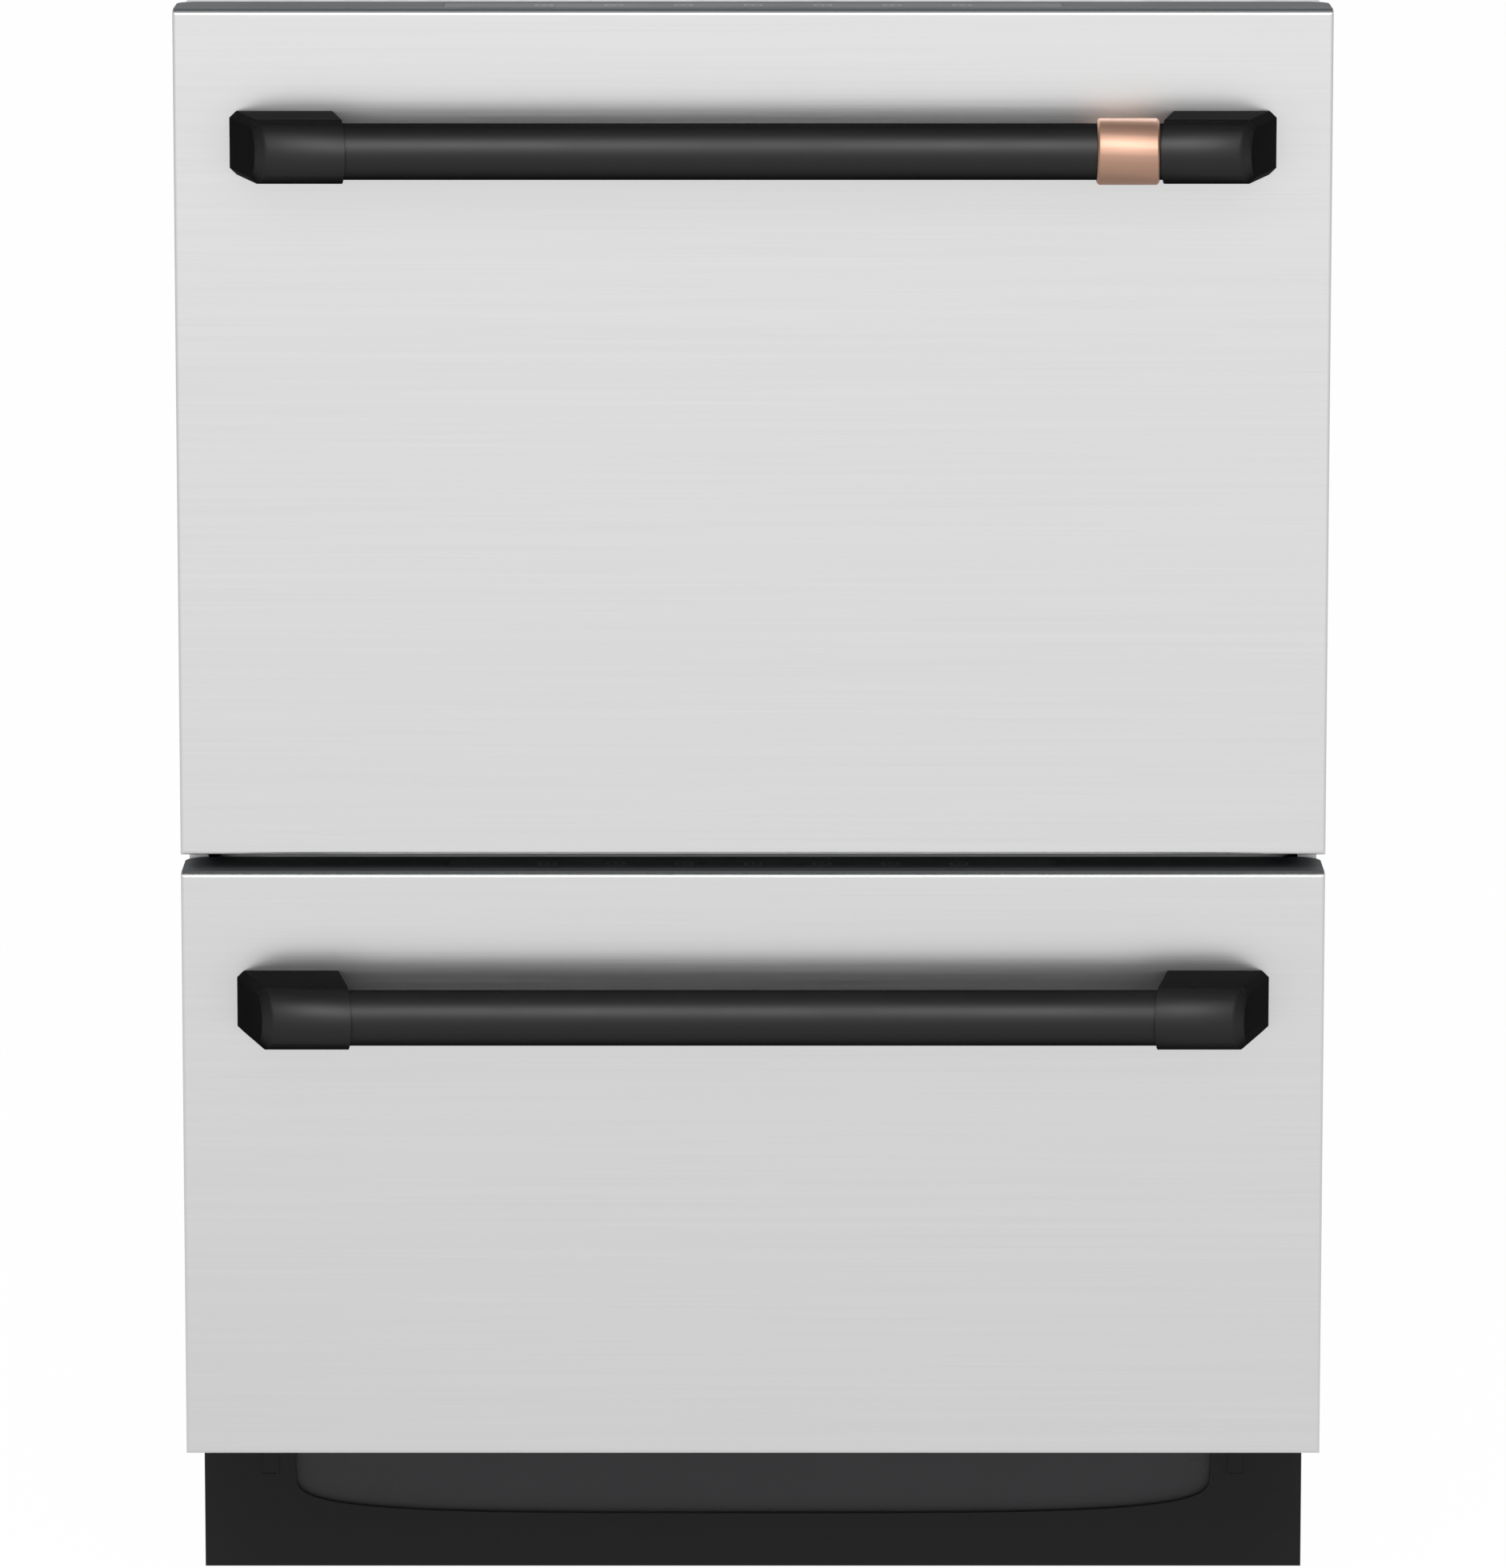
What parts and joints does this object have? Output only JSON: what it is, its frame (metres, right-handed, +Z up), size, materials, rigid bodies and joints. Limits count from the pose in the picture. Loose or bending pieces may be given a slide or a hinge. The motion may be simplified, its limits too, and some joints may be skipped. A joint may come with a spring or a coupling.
{
  "type": "dishwasher drawer",
  "caption": "Built-under dishwasher with stacked pull-out drawers behind flat steel doors with bar handles, each with its own tub, lid, rack and spray arm, on a cabinet with adjustable feet.",
  "frame": {"origin": "on the floor, at the centre of the appliance's outline seen from above, handles included", "axes": "+X to the right seen from the front, +Y from the doors to the back, +Z up"},
  "size_m": [0.598, 0.635, 0.85],
  "materials": {
    "stainless_sheet": "fine horizontal brushing, satin",
    "zinc_steel": "zinc-coated sheet, dull",
    "runner_steel": "rolled steel, satin",
    "black_sheet": "satin black paint",
    "dark_trim": "fine-grained dark grey",
    "gloss_strip": "polished black",
    "handle_black": "matte black powder coat",
    "copper_ring": "polished copper plate",
    "tub_plastic": "pale grey moulding, satin",
    "white_plastic": "white moulding",
    "frame_plastic": "dark grey moulding",
    "seal_rubber": "soft, matte",
    "rack_coat": "grey nylon coat over wire",
    "basket_plastic": "grey moulding",
    "arm_plastic": "blue-grey moulding",
    "filter_plastic": "grey moulding",
    "motor_case": "black-coated housing",
    "blue_plastic": "blue cap",
    "foot_plastic": "black moulding on a steel rod"
  },
  "bodies": {
    "chassis": {"left_side_panel": "zinc_steel", "right_side_panel": "zinc_steel", "back_panel": "zinc_steel", "top_panel": "zinc_steel", "base_tray": "zinc_steel", "front_rails": "zinc_steel", "toe_kick": "black_sheet", "cabinet_runners": "runner_steel", "lid_lifters": "white_plastic", "water_connection": "white_plastic", "drain_connection": "frame_plastic", "terminal_box": "frame_plastic"},
    "feet": {"levelling_feet": "foot_plastic"},
    "lower_drawer": {"lower_front_panel": "stainless_sheet", "lower_door_frame": "frame_plastic", "lower_door_cap": "dark_trim", "lower_control_strip": "gloss_strip", "lower_handle_bar": "handle_black", "lower_handle_left_post": "handle_black", "lower_handle_right_post": "handle_black", "lower_tub": "tub_plastic", "lower_drawer_runners": "runner_steel", "lower_wash_motor": "motor_case", "lower_filter_plate": "filter_plastic", "lower_drain_filter": "filter_plastic", "lower_rack": "rack_coat", "lower_cutlery_basket": "basket_plastic", "lower_dispenser": "filter_plastic"},
    "lower_middle_members": {"lower_middle_runners": "runner_steel"},
    "lower_lid_body": {"lower_lid": "white_plastic", "lower_lid_seal": "seal_rubber"},
    "lower_arm": {"lower_spray_arm": "arm_plastic"},
    "lower_tines": {"lower_folding_tines": "rack_coat"},
    "lower_shelf": {"lower_cup_shelf": "basket_plastic"},
    "lower_cup_door": {"lower_dispenser_door": "filter_plastic"},
    "lower_cap": {"lower_rinse_cap": "blue_plastic"},
    "upper_drawer": {"upper_front_panel": "stainless_sheet", "upper_door_frame": "frame_plastic", "upper_door_cap": "dark_trim", "upper_control_strip": "gloss_strip", "upper_handle_bar": "handle_black", "upper_handle_left_post": "handle_black", "upper_handle_right_post": "handle_black", "upper_tub": "tub_plastic", "upper_drawer_runners": "runner_steel", "upper_wash_motor": "motor_case", "upper_filter_plate": "filter_plastic", "upper_drain_filter": "filter_plastic", "upper_rack": "rack_coat", "upper_cutlery_basket": "basket_plastic", "upper_dispenser": "filter_plastic", "handle_ring": "copper_ring"},
    "upper_middle_members": {"upper_middle_runners": "runner_steel"},
    "upper_lid_body": {"upper_lid": "white_plastic", "upper_lid_seal": "seal_rubber"},
    "upper_arm": {"upper_spray_arm": "arm_plastic"},
    "upper_tines": {"upper_folding_tines": "rack_coat"},
    "upper_shelf": {"upper_cup_shelf": "basket_plastic"},
    "upper_cup_door": {"upper_dispenser_door": "filter_plastic"},
    "upper_cap": {"upper_rinse_cap": "blue_plastic"}
  },
  "joints": [
    {"name": "feet_height", "type": "slide", "parent": "chassis", "child": "feet", "axis": [0, 0, 1], "range_m": [-0.03, 0.03]},
    {"name": "lower_drawer_slide", "type": "slide", "parent": "chassis", "child": "lower_drawer", "axis": [0, -1, 0], "range_m": [0, 0.5]},
    {"name": "lower_middle_slide", "type": "slide", "parent": "chassis", "child": "lower_middle_members", "axis": [0, -1, 0], "range_m": [0, 0.25]},
    {"name": "lower_lid_lift", "type": "slide", "parent": "chassis", "child": "lower_lid_body", "axis": [0, 0, 1], "range_m": [0, 0.01]},
    {"name": "lower_arm_turn", "type": "hinge", "parent": "lower_drawer", "child": "lower_arm", "pos_m": [0, 0.02325, 0.1875], "axis": [0, 0, 1], "continuous": true},
    {"name": "lower_tines_fold", "type": "hinge", "parent": "lower_drawer", "child": "lower_tines", "pos_m": [-0.122, 0.03125, 0.2258], "axis": [0, 1, 0], "range_deg": [0, 85]},
    {"name": "lower_shelf_fold", "type": "hinge", "parent": "lower_drawer", "child": "lower_shelf", "pos_m": [-0.244, 0.03125, 0.3205], "axis": [0, -1, 0], "range_deg": [0, 85]},
    {"name": "lower_cup_door_hinge", "type": "hinge", "parent": "lower_drawer", "child": "lower_cup_door", "pos_m": [-0.046, -0.19205, 0.322], "axis": [-1, 0, 0], "range_deg": [0, 85]},
    {"name": "lower_cap_twist", "type": "hinge", "parent": "lower_drawer", "child": "lower_cap", "pos_m": [0.02, -0.19425, 0.347], "axis": [0, 1, 0], "range_deg": [0, 90]},
    {"name": "upper_drawer_slide", "type": "slide", "parent": "chassis", "child": "upper_drawer", "axis": [0, -1, 0], "range_m": [0, 0.5]},
    {"name": "upper_middle_slide", "type": "slide", "parent": "chassis", "child": "upper_middle_members", "axis": [0, -1, 0], "range_m": [0, 0.25]},
    {"name": "upper_lid_lift", "type": "slide", "parent": "chassis", "child": "upper_lid_body", "axis": [0, 0, 1], "range_m": [0, 0.01]},
    {"name": "upper_arm_turn", "type": "hinge", "parent": "upper_drawer", "child": "upper_arm", "pos_m": [0, 0.02325, 0.5525], "axis": [0, 0, 1], "continuous": true},
    {"name": "upper_tines_fold", "type": "hinge", "parent": "upper_drawer", "child": "upper_tines", "pos_m": [-0.122, 0.03125, 0.5908], "axis": [0, 1, 0], "range_deg": [0, 85]},
    {"name": "upper_shelf_fold", "type": "hinge", "parent": "upper_drawer", "child": "upper_shelf", "pos_m": [-0.244, 0.03125, 0.7055], "axis": [0, -1, 0], "range_deg": [0, 85]},
    {"name": "upper_cup_door_hinge", "type": "hinge", "parent": "upper_drawer", "child": "upper_cup_door", "pos_m": [-0.046, -0.19205, 0.73], "axis": [-1, 0, 0], "range_deg": [0, 85]},
    {"name": "upper_cap_twist", "type": "hinge", "parent": "upper_drawer", "child": "upper_cap", "pos_m": [0.02, -0.19425, 0.755], "axis": [0, 1, 0], "range_deg": [0, 90]}
  ],
  "couplings": [
    {"joint": "lower_middle_slide", "follows": "lower_drawer_slide", "ratio": 0.5},
    {"joint": "upper_middle_slide", "follows": "upper_drawer_slide", "ratio": 0.5}
  ]
}
